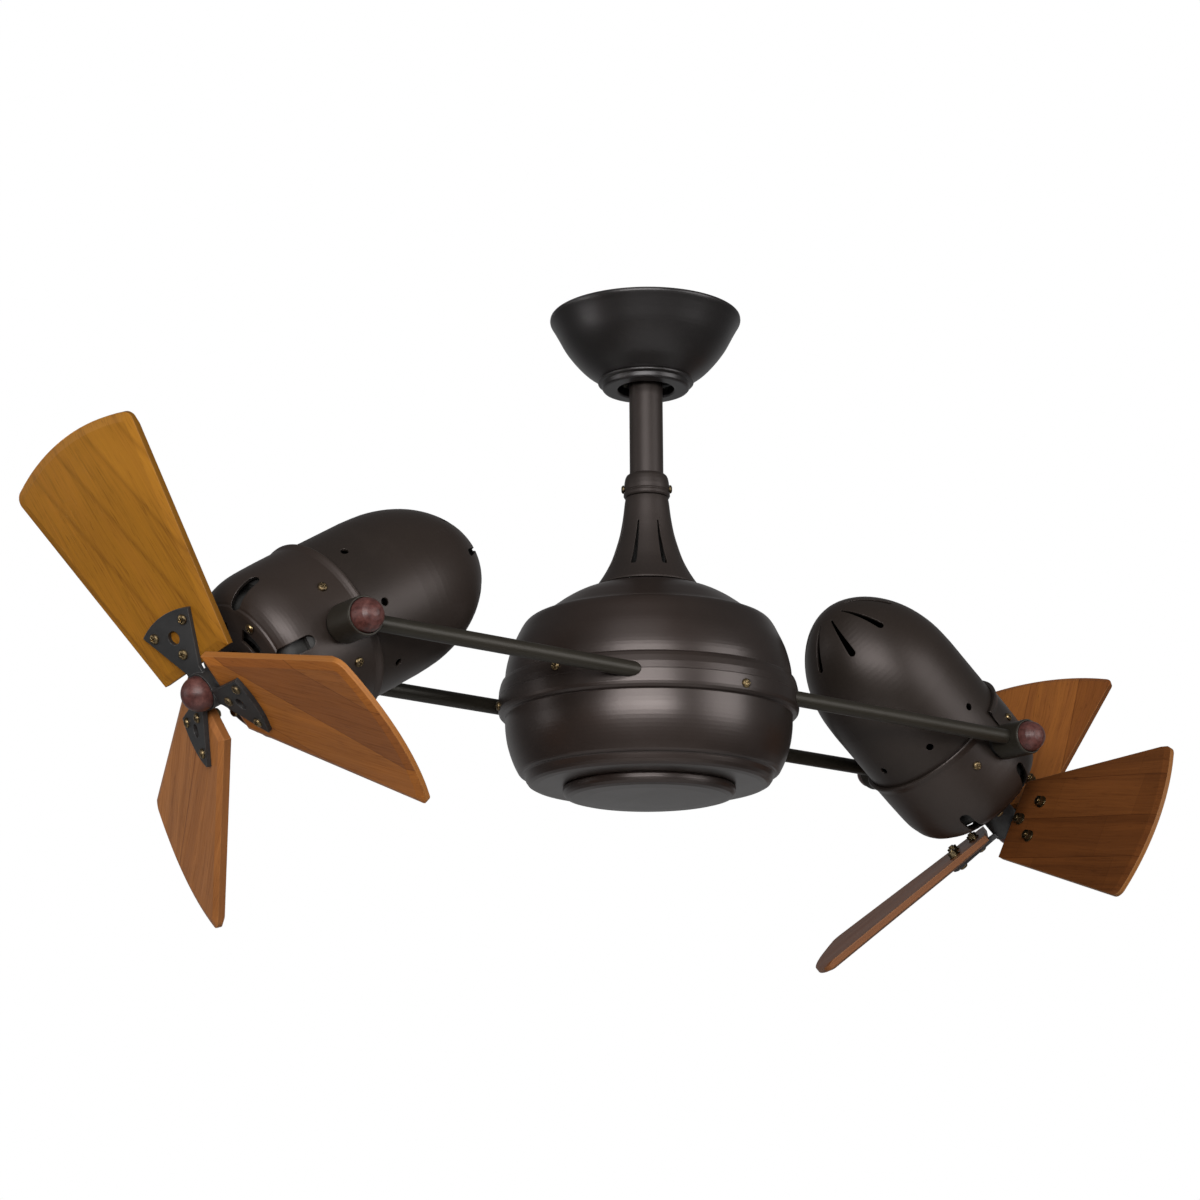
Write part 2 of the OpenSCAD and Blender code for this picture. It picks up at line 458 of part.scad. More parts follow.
hanger_bracket();
canopy();
canopy_ring();
canopy_screws();
hanger_ball();
ball_pin();
downrod();
coupling_collar();
collar_screws();
neck_cover();
spindle();
spindle_nut();
slip_rings();
near_rod();
far_rod();
near_left_rod_eye();
far_left_rod_eye();
near_right_rod_eye();
far_right_rod_eye();
upper_housing();
lower_housing();
bottom_cover();
housing_screws();
rod_carrier();
bearing_bushings();
brush_block();
left_rear_shell();
left_front_shell();
left_motor_frame();
left_end_plates();
left_stator_core();
left_stator_windings();
left_shell_screws();
left_motor_rotor();
left_blade_carrier();
left_blade_a();
left_blade_b();
left_blade_c();
left_blade_screws();
left_blade_nuts();
left_spinner();
left_near_knob();
left_far_knob();
right_rear_shell();
right_front_shell();
right_motor_frame();
right_end_plates();
right_stator_core();
right_stator_windings();
right_shell_screws();
right_motor_rotor();
right_blade_carrier();
right_blade_a();
right_blade_b();
right_blade_c();
right_blade_screws();
right_blade_nuts();
right_spinner();
right_near_knob();
right_far_knob();
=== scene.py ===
import json
import math
import bpy
import bmesh
from mathutils import Matrix, Vector, Euler


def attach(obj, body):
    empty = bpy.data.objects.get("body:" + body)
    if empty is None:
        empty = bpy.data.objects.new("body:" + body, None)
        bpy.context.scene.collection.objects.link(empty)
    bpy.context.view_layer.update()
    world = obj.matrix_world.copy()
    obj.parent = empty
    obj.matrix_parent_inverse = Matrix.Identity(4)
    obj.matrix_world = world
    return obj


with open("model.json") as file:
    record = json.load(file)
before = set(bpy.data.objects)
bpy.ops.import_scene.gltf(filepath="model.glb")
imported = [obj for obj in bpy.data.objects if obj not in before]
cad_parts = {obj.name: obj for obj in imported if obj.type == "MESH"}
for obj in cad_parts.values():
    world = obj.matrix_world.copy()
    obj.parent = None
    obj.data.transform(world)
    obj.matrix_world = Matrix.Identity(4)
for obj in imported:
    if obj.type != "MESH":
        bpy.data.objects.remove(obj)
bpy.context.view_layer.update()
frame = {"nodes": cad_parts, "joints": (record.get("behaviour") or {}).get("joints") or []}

NODES = frame["nodes"]
JOINT = {j["name"]: j for j in frame["joints"]}
scene = bpy.context.scene
scene.view_settings.view_transform = "Standard"
scene.view_settings.look = "None"
scene.view_settings.exposure = 0.0
scene.view_settings.gamma = 1.0

# ------------------------------------------------------------------ camera
CAM = Vector((-1.0430, -1.4057, -0.6391))
YAW, PITCH, ROLL, F_PX = 0.62058, 0.24962, 0.00440, 2770.1


def make_camera():
    f = Vector((math.sin(YAW) * math.cos(PITCH), math.cos(YAW) * math.cos(PITCH), math.sin(PITCH)))
    r = Vector((math.cos(YAW), -math.sin(YAW), 0.0))
    d = f.cross(r)
    r2 = math.cos(ROLL) * r + math.sin(ROLL) * d
    d2 = -math.sin(ROLL) * r + math.cos(ROLL) * d
    m = Matrix.Identity(4)
    for i in range(3):
        m[i][0], m[i][1], m[i][2], m[i][3] = r2[i], -d2[i], -f[i], CAM[i]
    data = bpy.data.cameras.new("camera")
    data.sensor_fit = "HORIZONTAL"
    data.sensor_width = 36.0
    data.lens = F_PX / 1200.0 * 36.0
    data.clip_start = 0.05
    data.clip_end = 100.0
    cam = bpy.data.objects.new("camera", data)
    scene.collection.objects.link(cam)
    cam.matrix_world = m
    scene.camera = cam


make_camera()

# ------------------------------------------------------------------ node helpers


class G:
    """A material's node tree with short calls. Every value may be a number, a vector or a socket."""

    def __init__(self, name):
        self.mat = bpy.data.materials.new(name)
        self.mat.use_nodes = True
        self.t = self.mat.node_tree
        self.t.nodes.clear()
        self.out = self.t.nodes.new("ShaderNodeOutputMaterial")
        self.b = self.t.nodes.new("ShaderNodeBsdfPrincipled")
        self.t.links.new(self.b.outputs[0], self.out.inputs[0])
        self._obj = None

    def node(self, kind, **props):
        n = self.t.nodes.new(kind)
        for k, v in props.items():
            setattr(n, k, v)
        return n

    def put(self, socket, v):
        if v is None:
            return
        if isinstance(v, bpy.types.NodeSocket):
            self.t.links.new(v, socket)
        elif isinstance(v, (int, float)):
            try:
                socket.default_value = float(v)
            except TypeError:
                socket.default_value = [float(v)] * len(socket.default_value)
        else:
            v = list(v)
            n = len(socket.default_value)
            socket.default_value = (v + [1.0])[:n] if len(v) < n else v[:n]

    def obj(self):
        if self._obj is None:
            self._obj = self.node("ShaderNodeTexCoord").outputs["Object"]
        return self._obj

    def mapping(self, vec, loc=(0, 0, 0), rot=(0, 0, 0), scale=(1, 1, 1)):
        n = self.node("ShaderNodeMapping")
        self.put(n.inputs["Vector"], vec)
        n.inputs["Location"].default_value = loc
        n.inputs["Rotation"].default_value = rot
        n.inputs["Scale"].default_value = scale
        return n.outputs[0]

    def noise(self, vec, scale=5.0, detail=2.0, rough=0.5, dist=0.0, lac=2.0, out="Fac", dims="3D", w=None):
        n = self.node("ShaderNodeTexNoise", noise_dimensions=dims)
        self.put(n.inputs["Vector"] if dims != "1D" else n.inputs["W"], vec)
        self.put(n.inputs["Scale"], scale)
        self.put(n.inputs["Detail"], detail)
        self.put(n.inputs["Roughness"], rough)
        self.put(n.inputs["Distortion"], dist)
        self.put(n.inputs["Lacunarity"], lac)
        return n.outputs[out] if out != "Color" else n.outputs["Color"]

    def white(self, v, dims="1D", out="Value"):
        n = self.node("ShaderNodeTexWhiteNoise", noise_dimensions=dims)
        self.put(n.inputs["W"] if dims == "1D" else n.inputs["Vector"], v)
        return n.outputs[out]

    def voronoi(self, vec, scale, feature="F1", rand=1.0, out="Distance"):
        n = self.node("ShaderNodeTexVoronoi", feature=feature)
        self.put(n.inputs["Vector"], vec)
        self.put(n.inputs["Scale"], scale)
        self.put(n.inputs["Randomness"], rand)
        return n.outputs[out]

    def m(self, op, a, b=None, c=None, clamp=False):
        n = self.node("ShaderNodeMath", operation=op, use_clamp=clamp)
        self.put(n.inputs[0], a)
        self.put(n.inputs[1], b)
        if c is not None:
            self.put(n.inputs[2], c)
        return n.outputs[0]

    def v(self, op, a, b=None, out=0):
        n = self.node("ShaderNodeVectorMath", operation=op)
        self.put(n.inputs[0], a)
        self.put(n.inputs[1], b)
        return n.outputs["Value"] if op in ("DOT_PRODUCT", "LENGTH", "DISTANCE") else n.outputs[0]

    def sep(self, v):
        n = self.node("ShaderNodeSeparateXYZ")
        self.put(n.inputs[0], v)
        return n.outputs

    def comb(self, x=0.0, y=0.0, z=0.0):
        n = self.node("ShaderNodeCombineXYZ")
        for i, q in enumerate((x, y, z)):
            self.put(n.inputs[i], q)
        return n.outputs[0]

    def mix(self, fac, a, b, mode="MIX"):
        n = self.node("ShaderNodeMix", data_type="RGBA", blend_type=mode)
        self.put(n.inputs[0], fac)
        self.put(n.inputs[6], a)
        self.put(n.inputs[7], b)
        return n.outputs[2]

    def lerp(self, fac, a, b):
        n = self.node("ShaderNodeMix", data_type="FLOAT")
        self.put(n.inputs[0], fac)
        self.put(n.inputs[2], a)
        self.put(n.inputs[3], b)
        return n.outputs[0]

    def span(self, v, a, b, lo=0.0, hi=1.0, smooth=True):
        n = self.node("ShaderNodeMapRange", interpolation_type="SMOOTHSTEP" if smooth else "LINEAR")
        self.put(n.inputs["Value"], v)
        self.put(n.inputs["From Min"], a)
        self.put(n.inputs["From Max"], b)
        self.put(n.inputs["To Min"], lo)
        self.put(n.inputs["To Max"], hi)
        return n.outputs[0]

    def ramp(self, fac, stops):
        n = self.node("ShaderNodeValToRGB")
        self.put(n.inputs[0], fac)
        cr = n.color_ramp
        while len(cr.elements) < len(stops):
            cr.elements.new(0.5)
        for e, (p, c) in zip(cr.elements, stops):
            e.position = p
            e.color = (c[0], c[1], c[2], 1.0)
        return n.outputs[0]

    def bevel(self, radius, samples=4):
        n = self.node("ShaderNodeBevel", samples=samples)
        n.inputs["Radius"].default_value = radius
        return n.outputs[0]

    def edge(self, bev, lo=0.01, hi=0.16):
        """1 on a convex or concave edge, 0 on open surface."""
        geo = self.node("ShaderNodeNewGeometry")
        d = self.v("DOT_PRODUCT", bev, geo.outputs["Normal"])
        return self.span(self.m("SUBTRACT", 1.0, d), lo, hi)

    def bump(self, height, distance, strength=1.0, normal=None):
        n = self.node("ShaderNodeBump")
        self.put(n.inputs["Height"], height)
        n.inputs["Distance"].default_value = distance
        n.inputs["Strength"].default_value = strength
        if normal is not None:
            self.put(n.inputs["Normal"], normal)
        return n.outputs[0]

    def set(self, **kw):
        names = {
            "color": "Base Color", "metal": "Metallic", "rough": "Roughness", "ior": "IOR", "normal": "Normal",
            "spec": "Specular IOR Level", "coat": "Coat Weight", "coat_rough": "Coat Roughness",
            "aniso": "Anisotropic", "sheen": "Sheen Weight", "tint": "Specular Tint",
        }
        for k, v in kw.items():
            self.put(self.b.inputs[names[k]], v)
        return self.mat


def shift(g, vec, x, y, z):
    return g.v("ADD", vec, (x, y, z))


# ------------------------------------------------------------------ painted metal
def inside(g, centre):
    """Mask for a painted shade: 1 on the surfaces that face a point inside the shell, 0 on those that face away from
    it.
    """
    out = g.v("NORMALIZE", g.v("SUBTRACT", g.obj(), tuple(centre)))
    geo = g.node("ShaderNodeNewGeometry")
    return g.span(g.v("DOT_PRODUCT", out, geo.outputs["Normal"]), 0.04, -0.12)


def bronze(name, dark, warm, veil, rough=0.40, seed=0.0, edge_col=(0.070, 0.058, 0.052), coat=0.0, centre=None, rub_highlight_amt=0.7, spec=0.62, tint=(1.0, 0.88, 0.85)):
    """Satin bronze paint: a dark body, reddish brown clouds, a fine dusty speckle, lighter edges that are partly rubbed
    paint and partly a painted highlight, and, where centre is given, painted shade on the faces that look into the
    shell.
    """
    g = G(name)
    p = shift(g, g.obj(), seed, seed * 0.7, -seed * 0.4)
    cloud = g.noise(p, 7.0, 2.0, 0.5, 0.3)
    fine = g.noise(p, 46.0, 4.0, 0.6)
    speck = g.noise(p, 900.0, 2.0, 0.6)
    c = g.mix(g.span(cloud, 0.30, 0.72), dark, warm)
    c = g.mix(g.span(fine, 0.40, 0.80, 0.0, 0.30), c, veil)
    c = g.mix(g.span(speck, 0.35, 0.75, 0.0, 0.25), c, veil)
    bev = g.bevel(0.0007, 6)
    # lighter edges: partly rubbed paint, partly a painted highlight laid along every edge, concave ones too
    e = g.edge(bev, 0.015, 0.20)
    rub_and_highlight = g.m("MULTIPLY", g.m("MULTIPLY", e, rub_highlight_amt), g.span(g.noise(p, 70.0, 3.0, 0.6), 0.30, 0.62, 0.25, 0.85))
    c = g.mix(rub_and_highlight, c, edge_col)
    # painted shade: the faces turned towards the inside of the shell are darkened to near black
    if centre is not None:
        c = g.mix(inside(g, centre), c, [x * 0.18 for x in dark])
    # rub marks: faint long soft streaks where the paint is polished
    rub = g.noise(g.mapping(p, scale=(18.0, 18.0, 5.0)), 1.0, 4.0, 0.55, 0.8)
    r = g.m("ADD", g.span(cloud, 0.3, 0.7, rough - 0.010, rough + 0.012), g.span(rub, 0.35, 0.7, -0.012, 0.014))
    r = g.m("SUBTRACT", r, g.m("MULTIPLY", rub_and_highlight, 0.08))
    dust = g.m("MULTIPLY", speck, 0.6)
    h = g.m("ADD", dust, g.m("MULTIPLY", g.noise(p, 320.0, 2.0, 0.5), 0.8))
    n = g.bump(h, 0.00006, 0.5, bev)
    return g.set(color=c, metal=0.0, rough=r, ior=1.5, spec=spec, tint=tint, normal=n, coat=coat, coat_rough=0.30)


M_CANOPY = bronze("bronze_canopy", (0.0068, 0.0063, 0.0062), (0.0086, 0.0075, 0.0071), (0.0130, 0.0116, 0.0113), 0.35, 0.0, centre=(0.0, 0.0, -0.006), spec=0.5, tint=(1.0, 0.96, 0.97))
M_HOUSING = bronze("bronze_housing", (0.0118, 0.0090, 0.0076), (0.0190, 0.0120, 0.0093), (0.0215, 0.0155, 0.0130), 0.335, 3.1, centre=(0.0, 0.0, -0.26), spec=0.62)
M_STEM = bronze("bronze_stem", (0.0125, 0.0098, 0.0084), (0.0195, 0.0138, 0.0114), (0.025, 0.0185, 0.0160), 0.48, 5.2, spec=0.42)
M_ROD = bronze("bronze_rod", (0.0130, 0.0112, 0.0078), (0.0165, 0.0134, 0.0095), (0.023, 0.0195, 0.0142), 0.44, 11.3, spec=0.36, tint=(1.0, 0.95, 0.88))


def iron(name, base, light, rough=0.52, seed=5.0):
    """Matt dark paint over a stamped or cast surface, lighter on its edges: partly paint rubbed thin, partly a painted
    highlight.
    """
    g = G(name)
    p = shift(g, g.obj(), seed, -seed, seed * 0.3)
    cloud = g.noise(p, 30.0, 4.0, 0.6)
    grit = g.noise(p, 700.0, 3.0, 0.65)
    c = g.mix(g.span(cloud, 0.35, 0.7, 0.0, 0.8), base, light)
    c = g.mix(g.span(grit, 0.5, 0.8, 0.0, 0.35), c, light)
    bev = g.bevel(0.0005, 6)
    # lighter edges: partly paint rubbed thin, partly a painted highlight along every edge
    e = g.m("MULTIPLY", g.edge(bev, 0.02, 0.22), g.span(g.noise(p, 120.0, 2.0, 0.5), 0.35, 0.6, 0.35, 1.0))
    c = g.mix(e, c, (0.085, 0.080, 0.076))
    r = g.m("SUBTRACT", g.span(cloud, 0.3, 0.7, rough - 0.05, rough + 0.06), g.m("MULTIPLY", e, 0.12))
    n = g.bump(g.m("ADD", grit, g.m("MULTIPLY", cloud, 0.6)), 0.00012, 0.45, bev)
    return g.set(color=c, metal=0.0, rough=r, ior=1.5, normal=n)


M_IRON = iron("dark_iron", (0.0135, 0.0130, 0.0130), (0.024, 0.0228, 0.0225))
M_CAST = iron("cast_iron", (0.0130, 0.0125, 0.0120), (0.030, 0.028, 0.026), 0.56, 9.0)


def metal(name, base, tint, rough, seed=0.0, grain=(60.0, 60.0, 60.0), bump=0.00004, patina=None, spot=0.0):
    """Bare or plated metal with brushed variation, tarnish in patches and brighter edges, partly rubbed and partly a
    painted highlight.
    """
    g = G(name)
    p = shift(g, g.obj(), seed, seed, seed)
    cloud = g.noise(p, 55.0, 4.0, 0.6)
    line = g.noise(g.mapping(p, scale=grain), 4.0, 3.0, 0.6)
    c = g.mix(g.span(cloud, 0.35, 0.68), base, tint)
    c = g.mix(g.span(line, 0.45, 0.75, 0.0, 0.35), c, [x * 1.25 for x in base])
    if patina is not None:
        pt = g.span(g.noise(p, 260.0, 4.0, 0.65), 0.46, 0.64, 0.0, 0.8)
        c = g.mix(pt, c, patina)
    bev = g.bevel(0.00035, 6)
    e = g.edge(bev, 0.02, 0.2)
    # brighter edges: partly rubbed metal, partly a painted highlight along every edge
    c = g.mix(g.m("MULTIPLY", e, 0.5), c, [min(1.0, x * 1.7 + 0.03) for x in base])
    r = g.m("SUBTRACT", g.span(cloud, 0.3, 0.7, rough - 0.05, rough + 0.09), g.m("MULTIPLY", e, 0.08))
    n = g.bump(g.m("ADD", line, g.m("MULTIPLY", cloud, 0.5)), bump, 0.5, bev)
    return g.set(color=c, metal=1.0, rough=r, normal=n)


M_BRASS = metal("antique_brass_worn", (0.235, 0.170, 0.085), (0.160, 0.115, 0.062), 0.36, 1.0, patina=(0.050, 0.036, 0.024))
M_NUTS = metal("antique_brass_nuts", (0.165, 0.125, 0.065), (0.105, 0.080, 0.045), 0.36, 2.0, patina=(0.040, 0.030, 0.020))
M_ZINC = metal("zinc_plate", (0.50, 0.51, 0.50), (0.40, 0.42, 0.44), 0.36, 3.0, patina=(0.30, 0.30, 0.27))
M_SHAFT = metal("shaft_ground_steel", (0.50, 0.50, 0.50), (0.42, 0.42, 0.43), 0.24, 4.0, grain=(20.0, 20.0, 400.0))
M_BUSH = metal("sintered_bronze", (0.42, 0.29, 0.13), (0.33, 0.22, 0.10), 0.46, 6.0, patina=(0.12, 0.08, 0.05))
M_RINGS = metal("copper_ring", (0.62, 0.30, 0.16), (0.50, 0.24, 0.13), 0.28, 8.0, grain=(10.0, 10.0, 500.0))


def lamination(name):
    """Stacked sheet steel: the sheet edges show as fine lines across the head's axis."""
    g = G(name)
    p = g.obj()
    s = g.sep(p)
    w = g.m("MULTIPLY", g.m("ADD", g.m("MULTIPLY", s[0], 0.79), g.m("MULTIPLY", s[2], 0.61)), 2000.0)
    line = g.m("ABSOLUTE", g.m("SUBTRACT", g.m("FRACT", w), 0.5))
    blot = g.noise(p, 80.0, 4.0, 0.6)
    c = g.mix(g.span(blot, 0.35, 0.7), (0.20, 0.20, 0.205), (0.11, 0.105, 0.10))
    c = g.mix(g.span(line, 0.36, 0.5, 0.0, 0.7), c, (0.03, 0.03, 0.03))
    n = g.bump(g.span(line, 0.3, 0.5, 1.0, 0.0), 0.0001, 0.6)
    return g.set(color=c, metal=0.85, rough=g.span(blot, 0.3, 0.7, 0.38, 0.55), normal=n)


def winding(name):
    """Enamelled copper wire laid round the ring, with lacing every few degrees."""
    g = G(name)
    p = g.obj()
    strand = g.noise(g.mapping(p, scale=(1.0, 1.0, 1.0)), 520.0, 3.0, 0.55, 0.6)
    vor = g.voronoi(p, 620.0)
    c = g.mix(g.span(strand, 0.35, 0.7), (0.30, 0.095, 0.030), (0.47, 0.19, 0.065))
    c = g.mix(g.span(vor, 0.35, 0.7, 0.0, 0.6), c, (0.10, 0.035, 0.015))
    n = g.bump(g.m("SUBTRACT", strand, vor), 0.00035, 0.7)
    return g.set(color=c, metal=0.7, rough=g.span(strand, 0.3, 0.7, 0.25, 0.42), normal=n, coat=0.4, coat_rough=0.15)


def plastic(name, a, b, rough=0.42, seed=0.0):
    g = G(name)
    p = shift(g, g.obj(), seed, seed, seed)
    cloud = g.noise(p, 40.0, 3.0, 0.5)
    pit = g.noise(p, 1100.0, 2.0, 0.5)
    c = g.mix(g.span(cloud, 0.3, 0.7), a, b)
    bev = g.bevel(0.0006, 4)
    e = g.edge(bev)
    # lighter edges: a painted highlight along every edge
    c = g.mix(g.m("MULTIPLY", e, 0.3), c, [min(1, x * 1.5) for x in b])
    return g.set(color=c, rough=g.span(cloud, 0.3, 0.7, rough - 0.04, rough + 0.06), normal=g.bump(pit, 0.00008, 0.4, bev), ior=1.49)


M_LAM = lamination("lamination_stack")
M_WIRE = winding("winding_wire")
M_BALL = plastic("hard_plastic_ball", (0.33, 0.30, 0.24), (0.42, 0.385, 0.31))
M_BRUSH = plastic("hard_plastic_block", (0.13, 0.12, 0.10), (0.19, 0.175, 0.145), 0.5, 2.0)


# ------------------------------------------------------------------ wood
PITCH_B, BLADE_S = math.radians(19.0), 0.0652
PHASE = {"left": 8.7, "right": 41.3}


def rotor_matrix(side):
    """Row frame from the rotor's own frame (+Z along the shaft to the nose, Y along the tilt axis at phase 0)."""
    j = JOINT[side + "_rotor_spin"]
    z = Vector(j["axis"]).normalized()
    y = Vector((0.0, 1.0, 0.0))
    x = y.cross(z).normalized()
    m = Matrix.Identity(4)
    o = Vector(j.get("pos_m") or j.get("anchor_m") or (0, 0, 0))
    for i in range(3):
        m[i][0], m[i][1], m[i][2], m[i][3] = x[i], y[i], z[i], o[i]
    return m @ Matrix.Rotation(math.radians(PHASE[side]), 4, "Z")


def blade_matrix(side, k):
    return rotor_matrix(side) @ Matrix.Rotation(math.radians(120.0 * k), 4, "Z") @ Matrix.Translation((0, 0, BLADE_S)) @ Matrix.Rotation(PITCH_B, 4, "X")


def wood(name, inv, tones, streak, width=0.034, slant=0.05, seed=0.0, tone_spread=1.0, blocks=0.0, edge_tone=(0.36, 0.185, 0.075),
         streak_amt=0.5, skew=0.0, side_tone=None, rough=0.42, joint=(0.004, 0.014, 0.60)):
    """Varnished laminated wood. inv takes the row frame to the blade's own (+X outwards, +Y chord, +Z front)."""
    g = G(name)
    e = inv.to_euler()
    p = g.mapping(g.obj(), loc=inv.translation, rot=(e.x, e.y, e.z))
    s = g.sep(p)
    x, y, z = s[0], s[1], s[2]
    # plank number across the chord; the joints run a little askew to the blade
    wander = g.m("MULTIPLY", g.m("SUBTRACT", g.noise(g.comb(g.m("MULTIPLY", x, 9.0), seed, 0.0), 1.0, 1.0), 0.5), 0.003)
    u = g.m("ADD", g.m("ADD", y, g.m("MULTIPLY", x, slant)), g.m("ADD", wander, skew))
    un = g.m("DIVIDE", u, width)
    pid = g.m("FLOOR", un)
    pf = g.m("FRACT", un)
    r1 = g.white(g.m("ADD", pid, seed * 3.17 + 0.37))
    r2 = g.white(g.m("ADD", pid, seed * 5.31 + 9.71))
    # butt joints along each plank
    xb = g.m("ADD", g.m("DIVIDE", x, 0.085), g.m("MULTIPLY", r2, 3.0))
    bid = g.m("FLOOR", xb)
    r3 = g.white(g.m("ADD", g.m("MULTIPLY", bid, 7.13), g.m("ADD", g.m("MULTIPLY", pid, 3.7), seed)))
    tone = g.m("ADD", g.m("MULTIPLY", r1, 1.0 - blocks), g.m("MULTIPLY", r3, blocks))
    tone = g.m("ADD", 0.5, g.m("MULTIPLY", g.m("SUBTRACT", tone, 0.5), tone_spread), clamp=True)
    base = g.ramp(tone, [(0.0, tones[0]), (0.5, tones[1]), (1.0, tones[2])])
    # growth bands, fibres and pores run along x and differ from plank to plank
    off = g.m("MULTIPLY", g.m("ADD", r1, pid), 0.37)
    warp = g.m("MULTIPLY", g.m("SUBTRACT", g.noise(g.comb(g.m("MULTIPLY", x, 5.5), g.m("MULTIPLY", y, 16.0), off), 1.0, 2.0, 0.5), 0.5), 0.016)
    yy = g.m("ADD", g.m("ADD", y, warp), g.m("MULTIPLY", x, g.m("MULTIPLY", g.m("SUBTRACT", r2, 0.5), 0.10)))
    bands = g.noise(g.comb(g.m("MULTIPLY", x, 2.2), g.m("MULTIPLY", yy, 120.0), g.m("ADD", off, g.m("MULTIPLY", z, 60.0))), 1.0, 4.0, 0.62)
    fib = g.noise(g.comb(g.m("MULTIPLY", x, 26.0), g.m("MULTIPLY", yy, 950.0), g.m("MULTIPLY", z, 500.0)), 1.0, 3.0, 0.6)
    pore = g.noise(g.comb(g.m("MULTIPLY", x, 90.0), g.m("MULTIPLY", yy, 1700.0), g.m("MULTIPLY", z, 900.0)), 1.0, 1.0, 0.5)
    soft = g.noise(g.comb(g.m("MULTIPLY", x, 13.0), g.m("MULTIPLY", y, 30.0), g.m("ADD", seed, g.m("MULTIPLY", z, 20.0))), 1.0, 3.0, 0.5)
    c = g.mix(g.span(bands, 0.36, 0.68, 0.0, streak_amt), base, streak)
    dark = g.mix(1.0, c, (0.52, 0.45, 0.40), "MULTIPLY")
    light = g.mix(1.0, c, (1.30, 1.27, 1.20), "MULTIPLY")
    c = g.mix(g.span(fib, 0.50, 0.72, 0.0, 0.55), c, dark)
    c = g.mix(g.span(fib, 0.48, 0.30, 0.0, 0.40), c, light)
    c = g.mix(g.span(pore, 0.66, 0.74, 0.0, 0.55), c, g.mix(1.0, c, (0.30, 0.24, 0.20), "MULTIPLY"))
    c = g.mix(g.span(soft, 0.35, 0.68, 0.0, 0.38), c, light)
    # fine glue line between planks, and at the butt joints
    seam = g.m("MINIMUM", pf, g.m("SUBTRACT", 1.0, pf))
    line = g.span(seam, joint[0], joint[1], joint[2], 0.0)
    if blocks > 0.0:
        bf = g.m("FRACT", xb)
        bs = g.m("MINIMUM", bf, g.m("SUBTRACT", 1.0, bf))
        line = g.m("MAXIMUM", line, g.span(bs, 0.0015, 0.005, 0.28, 0.0))
    c = g.mix(line, c, g.mix(1.0, c, (0.40, 0.33, 0.30), "MULTIPLY"))
    # the sawn edges take the stain darker; the arrises are lightened, partly rubbed varnish and partly a painted edge
    # highlight
    bev = g.bevel(0.0008, 8)
    geo = g.node("ShaderNodeNewGeometry")
    zdir = inv.to_3x3().transposed() @ Vector((0, 0, 1))
    nz = g.m("ABSOLUTE", g.v("DOT_PRODUCT", geo.outputs["True Normal"], tuple(zdir)))
    sidem = g.span(nz, 0.50, 0.20)
    if side_tone is None:
        side_tone = [t * 0.62 for t in tones[0]]
    endg = g.noise(g.comb(g.m("MULTIPLY", x, 14.0), g.m("MULTIPLY", y, 14.0), g.m("MULTIPLY", z, 900.0)), 1.0, 2.0, 0.5)
    sc = g.mix(g.span(endg, 0.3, 0.7), side_tone, [t * 1.18 for t in side_tone])
    c = g.mix(g.m("MULTIPLY", sidem, 0.85), c, sc)
    # painted edge highlight, partly rubbed varnish: every arris is mixed towards edge_tone
    ed = g.edge(bev, 0.006, 0.09)
    c = g.mix(g.m("MULTIPLY", ed, 0.28), c, edge_tone)
    r = g.m("ADD", g.span(fib, 0.3, 0.7, rough - 0.03, rough + 0.06), g.span(soft, 0.3, 0.7, -0.02, 0.03))
    h = g.m("ADD", g.m("MULTIPLY", fib, 0.7), g.m("ADD", g.m("MULTIPLY", pore, 0.5), g.m("MULTIPLY", line, -1.2)))
    h = g.m("MULTIPLY", h, g.m("SUBTRACT", 1.0, g.m("MULTIPLY", sidem, 0.8)))
    n = g.bump(h, 0.00009, 0.5, bev)
    return g.set(color=c, rough=r, ior=1.5, normal=n, spec=0.12, coat=0.02, coat_rough=0.25)


GOLD = ((0.198, 0.080, 0.0072), (0.262, 0.109, 0.0100), (0.325, 0.139, 0.0145))
TAN = ((0.155, 0.050, 0.0110), (0.235, 0.080, 0.0170), (0.320, 0.124, 0.0265))
RED = ((0.280, 0.104, 0.0300), (0.345, 0.132, 0.0375), (0.420, 0.167, 0.0475))
AMBER = ((0.245, 0.080, 0.0175), (0.520, 0.180, 0.0235), (0.690, 0.265, 0.0360))
BROWN = ((0.085, 0.027, 0.0070), (0.118, 0.038, 0.0095), (0.160, 0.054, 0.0140))
DARK = ((0.130, 0.041, 0.0105), (0.165, 0.054, 0.0135), (0.205, 0.070, 0.0180))

BLADES = {
    "left_blade_a": (("left", 0), dict(tones=GOLD, streak=(0.235, 0.092, 0.012), width=0.025, slant=-0.24, seed=1.3, tone_spread=0.40, streak_amt=0.45, skew=0.006, joint=(-0.02, 0.12, 0.36))),
    "left_blade_b": (("left", 2), dict(tones=AMBER, streak=(0.200, 0.066, 0.017), width=0.044, slant=0.42, seed=4.6, tone_spread=1.5, streak_amt=0.35, side_tone=(0.27, 0.105, 0.026))),
    "left_blade_c": (("left", 1), dict(tones=RED, streak=(0.215, 0.075, 0.021), width=0.060, slant=0.04, seed=7.9, tone_spread=0.5, streak_amt=0.50)),
    "right_blade_a": (("right", 2), dict(tones=BROWN, streak=(0.055, 0.017, 0.005), width=0.030, slant=0.02, seed=11.2, tone_spread=0.75, blocks=0.7, streak_amt=0.5, side_tone=(0.190, 0.078, 0.022))),
    "right_blade_b": (("right", 0), dict(tones=DARK, streak=(0.088, 0.027, 0.008), width=0.045, slant=-0.03, seed=14.5, tone_spread=0.6, streak_amt=0.5, side_tone=(0.150, 0.058, 0.022))),
    "right_blade_c": (("right", 1), dict(tones=TAN, streak=(0.150, 0.046, 0.014), width=0.038, slant=0.06, seed=17.8, tone_spread=0.8, streak_amt=0.5)),
}


